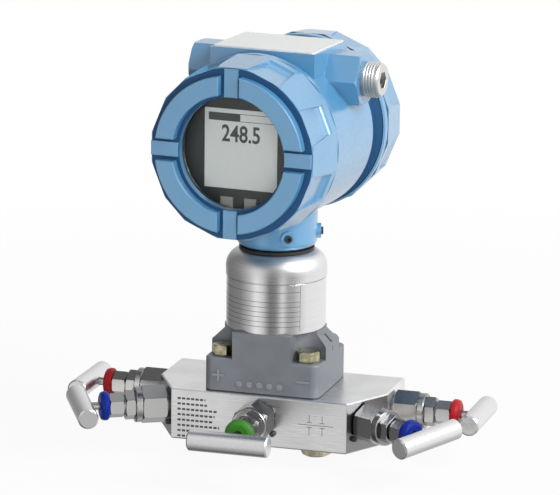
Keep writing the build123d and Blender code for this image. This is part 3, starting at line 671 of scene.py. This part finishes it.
# %% [markdown]
# ### The display
#
# A bar graph, half full, above a plain reading. The digits are a text object that is made a
# mesh, and then stretched to the measured width and height of the real ones. That is less work
# than drawing each figure. It is made a mesh first, because the export puts every object at
# the origin, and so the place of a piece has to be in its points.

# %% Bar graph
SCREEN_PLANE = 57.25
BAR_LEFT, BAR_RIGHT, BAR_FULL = -21.0, 21.0, -0.6
BAR_BOTTOM, BAR_TOP, BAR_LINE = 16.8, 21.6, 0.35
screen_origin = np.array(Vector((0, 0, HEAD_HEIGHT)) - head_back * SCREEN_PLANE * MM) / MM
bars = np.array([
    (BAR_LEFT, BAR_BOTTOM, BAR_FULL, BAR_TOP),
    (BAR_FULL, BAR_BOTTOM, BAR_RIGHT, BAR_BOTTOM + BAR_LINE),
    (BAR_FULL, BAR_TOP - BAR_LINE, BAR_RIGHT, BAR_TOP),
    (BAR_RIGHT - BAR_LINE, BAR_BOTTOM, BAR_RIGHT, BAR_TOP),
])
points, faces = flat_marks(screen_origin, head_right, head_up, bars)
add_piece("display_bar_graph", points, faces, ink, "head")

# %% Digits
READING = "248.5"
STROKE_GROWTH = 0.02
DIGITS_BOX = (-12.5, 4.2, 12.2, 14.6)
words = bpy.data.curves.new("reading", "FONT")
words.body = READING
words.offset = STROKE_GROWTH
typed = bpy.data.objects.new("reading", words)
drawn = bpy.data.meshes.new_from_object(typed)
outline = np.empty(len(drawn.vertices) * 3)
drawn.vertices.foreach_get("co", outline)
outline = outline.reshape(-1, 3)[:, :2]
low, high = outline.min(0), outline.max(0)
box = np.array(DIGITS_BOX).reshape(2, 2)
outline = box[0] + (outline - low) / (high - low) * (box[1] - box[0])
across, upward = outline[:, :1] * np.array(head_right), outline[:, 1:] * np.array(head_up)
points = (screen_origin + across + upward) * MM
drawn.vertices.foreach_set("co", points.ravel())
drawn.materials.clear()
drawn.materials.append(ink)
reading = bpy.data.objects.new("display_digits", drawn)
bpy.context.scene.collection.objects.link(reading)
bpy.data.objects.remove(typed)
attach(reading, "head")
print("display_digits faces:", len(drawn.polygons))

# %% [markdown]
# ### Thread on the conduit plug
#
# A helix is a cylinder whose radius follows how far a point lies along the axis, less the
# advance of the thread at its angle. A Screw modifier makes a thread as well, but the function
# also lets it run out softly at both ends, as a cut thread does.

# %% Plug thread
THREAD_START, THREAD_END = 55.3, 64.0
THREAD_ROOT, THREAD_CREST, THREAD_PITCH = 10.27, 10.95, 1.81
BOSS_BACK, BOSS_LEVEL = 4.0, 37.0


def thread_surface(start, end, root, crest, pitch, around=72, per_pitch=8):
    """A grid of places along the axis and angles round it.

    The radius is the root, plus the depth of the thread times |2 f - 1|, where f is the
    fraction of place / pitch - angle / turn. It runs out over half a pitch at both ends.
    """
    along = np.linspace(start, end, int((end - start) / pitch * per_pitch) + 1)[:, None]
    angle = np.linspace(0, 2 * pi, around + 1)[None, :]
    ridge = np.abs(2 * ((along / pitch - angle / (2 * pi)) % 1) - 1)
    edge = np.clip(np.minimum(along - start, end - along) / pitch * 2, 0, 1)
    width = root + (crest - root) * ridge * edge
    return along + 0 * angle, width * np.cos(angle), width * np.sin(angle)


along, back_part, up_part = thread_surface(
    THREAD_START, THREAD_END, THREAD_ROOT, THREAD_CREST, THREAD_PITCH
)
placed = (
    (along, head_right),
    (back_part + BOSS_BACK, head_back),
    (up_part + BOSS_LEVEL, head_up),
)
points = sum(part[..., None] * np.array(way) for part, way in placed) * MM
points[..., 2] += HEAD_HEIGHT
rows, columns = along.shape
plug_finish = grained(
    "plug_steel", metallic=1.0, colour=(0.64, 0.64, 0.625), rough=(0.28, 0.4), scale=1500,
    detail=2, bump=0.15,
)[0]
dress(plug_finish, "conduit_plug")
add_piece("conduit_plug_thread", points.reshape(-1, 3), grid_faces(rows, columns), plug_finish,
          "head", True)

# %% [markdown]
# ### Ruled panel on the can
#
# Fine horizontal lines with a border at their right end, engraved round the front left. They
# are thin strips a hair outside the can, because cutting such fine grooves would need a very
# dense mesh and would look the same.

# %% Can panel
CAN_SURFACE = 30.73
PANEL_FROM, PANEL_TO = radians(-78), radians(44.9)
PANEL_BOTTOM, PANEL_TOP = 71.5, 100.4
RULE_LEVELS = (95.8, 89.7, 86.6, 83.5, 80.5, 77.4, 74.3)
RULE_WIDTH = 0.26
RULE_STEPS = 48


def can_patch(angles, levels):
    """Points of a patch on the can: angles from -Y towards +X, levels in millimetres.

    x = radius * sin(angle), y = -radius * cos(angle), z = level, each in millimetres.
    """
    angle, height = np.meshgrid(angles, levels)
    return np.stack((CAN_SURFACE * np.sin(angle), -CAN_SURFACE * np.cos(angle), height), -1) * MM


round_the_can = np.linspace(PANEL_FROM, PANEL_TO, RULE_STEPS)
border = np.array((PANEL_TO, PANEL_TO + RULE_WIDTH / CAN_SURFACE))
strips = [can_patch(round_the_can, (under, under + RULE_WIDTH)) for under in RULE_LEVELS]
strips.append(can_patch(border, (PANEL_BOTTOM, PANEL_TOP)))
sizes = [strip.shape[:2] for strip in strips]
starts = np.cumsum([0] + [rows * columns for rows, columns in sizes])
faces = np.concatenate([grid_faces(*size, start) for size, start in zip(sizes, starts)])
points = np.concatenate([strip.reshape(-1, 3) for strip in strips])
add_piece("can_ruled_panel", points, faces, etched, "base")

# %% [markdown]
# ### Engraving on the block
#
# Rows of plain dashes on the left, and on the right the two lines and the bridge of a generic
# flow diagram. Both are lists of rectangles just in front of the block, each given by its left,
# bottom, right and top.

# %% Block engraving
BLOCK_FRONT = 34.94
ROW_LEFT, ROW_TOP, ROW_STEP, ROW_HEIGHT = -52.0, 25.4, 3.4, 1.3
ROW_ENDS = (-34, -33, -26, -28, -29, -25, -44, -46)
DASH, DASH_GAP = 2.1, 0.8
LINE = 0.35
PIPES, PIPE_BOTTOM, PIPE_TOP = (32.2, 40.4), 10, 23
VALVE_BOTTOM, VALVE_TOP, BAR_REACH = 15, 18, 1.4
BRIDGE_LEFT, BRIDGE_RIGHT, BRIDGE_LEVEL = 25.2, 47.6, 16.4
dashes = np.array([
    (left, ROW_TOP - row * ROW_STEP, min(left + DASH, end), ROW_TOP - row * ROW_STEP + ROW_HEIGHT)
    for row, end in enumerate(ROW_ENDS)
    for left in np.arange(ROW_LEFT, end, DASH + DASH_GAP)
])
diagram = [(BRIDGE_LEFT, BRIDGE_LEVEL, BRIDGE_RIGHT, BRIDGE_LEVEL + LINE)]
for pipe in PIPES:
    diagram += [
        (pipe, PIPE_BOTTOM, pipe + LINE, VALVE_BOTTOM),
        (pipe, VALVE_TOP, pipe + LINE, PIPE_TOP),
        (pipe - BAR_REACH, VALVE_BOTTOM, pipe + LINE + BAR_REACH, VALVE_BOTTOM + LINE),
        (pipe - BAR_REACH, VALVE_TOP, pipe + LINE + BAR_REACH, VALVE_TOP + LINE),
    ]
marks = np.concatenate((dashes, diagram))
points, faces = flat_marks((0, -BLOCK_FRONT, 0), (1, 0, 0), (0, 0, 1), marks)
add_piece("block_engraving", points, faces, etched, "base")

# %% [markdown]
# ## Floor
#
# A pale floor at the level of the port plugs. It fades out well beyond the part, and the camera
# sees it nearly white, so that no horizon cuts the picture. From below it is see-through.

# %% Floor
FLOOR_HALF = 1.2
FLOOR_LEVEL = -12.2 * MM
FADE_FROM, FADE_TO = 0.3, 0.8
FLOOR_WHITE = 0.93
floor_mesh = bpy.data.meshes.new("floor")
corners = np.array([(-1, -1), (1, -1), (1, 1), (-1, 1)]) * FLOOR_HALF
floor_points = np.column_stack((corners, np.full(4, FLOOR_LEVEL)))
floor_mesh.from_pydata(floor_points.tolist(), [], [(0, 1, 2, 3)])
floor = bpy.data.objects.new("floor", floor_mesh)
bpy.context.scene.collection.objects.link(floor)
floor_finish, tree, shader, place = new_finish(
    "pale_floor", colour=(0.62, 0.62, 0.62), roughness=0.7
)
away = hypotenuse(tree, dot(tree, place, (1, 0, 0)), dot(tree, place, (0, 1, 0)))
white = tree.nodes.new("ShaderNodeEmission")
see_through = tree.nodes.new("ShaderNodeBsdfTransparent")
seen_from_below = tree.nodes.new("ShaderNodeNewGeometry").outputs["Backfacing"]
light_path = tree.nodes.new("ShaderNodeLightPath")
whitened = tree.nodes.new("ShaderNodeMixShader")
faded = tree.nodes.new("ShaderNodeMixShader")
seen_white = calc(tree, "MULTIPLY", light_path.outputs["Is Camera Ray"], FLOOR_WHITE)
tree.links.new(seen_white, whitened.inputs[0])
tree.links.new(shader.outputs[0], whitened.inputs[1])
tree.links.new(white.outputs[0], whitened.inputs[2])
fade = map_range(tree, away, FADE_FROM, FADE_TO)
tree.links.new(calc(tree, "MAXIMUM", fade, seen_from_below), faded.inputs[0])
tree.links.new(whitened.outputs[0], faded.inputs[1])
tree.links.new(see_through.outputs[0], faded.inputs[2])
tree.links.new(faded.outputs[0], tree.nodes["Material Output"].inputs["Surface"])
floor_mesh.materials.append(floor_finish)
floor.visible_glossy = False
print("floor level:", FLOOR_LEVEL)
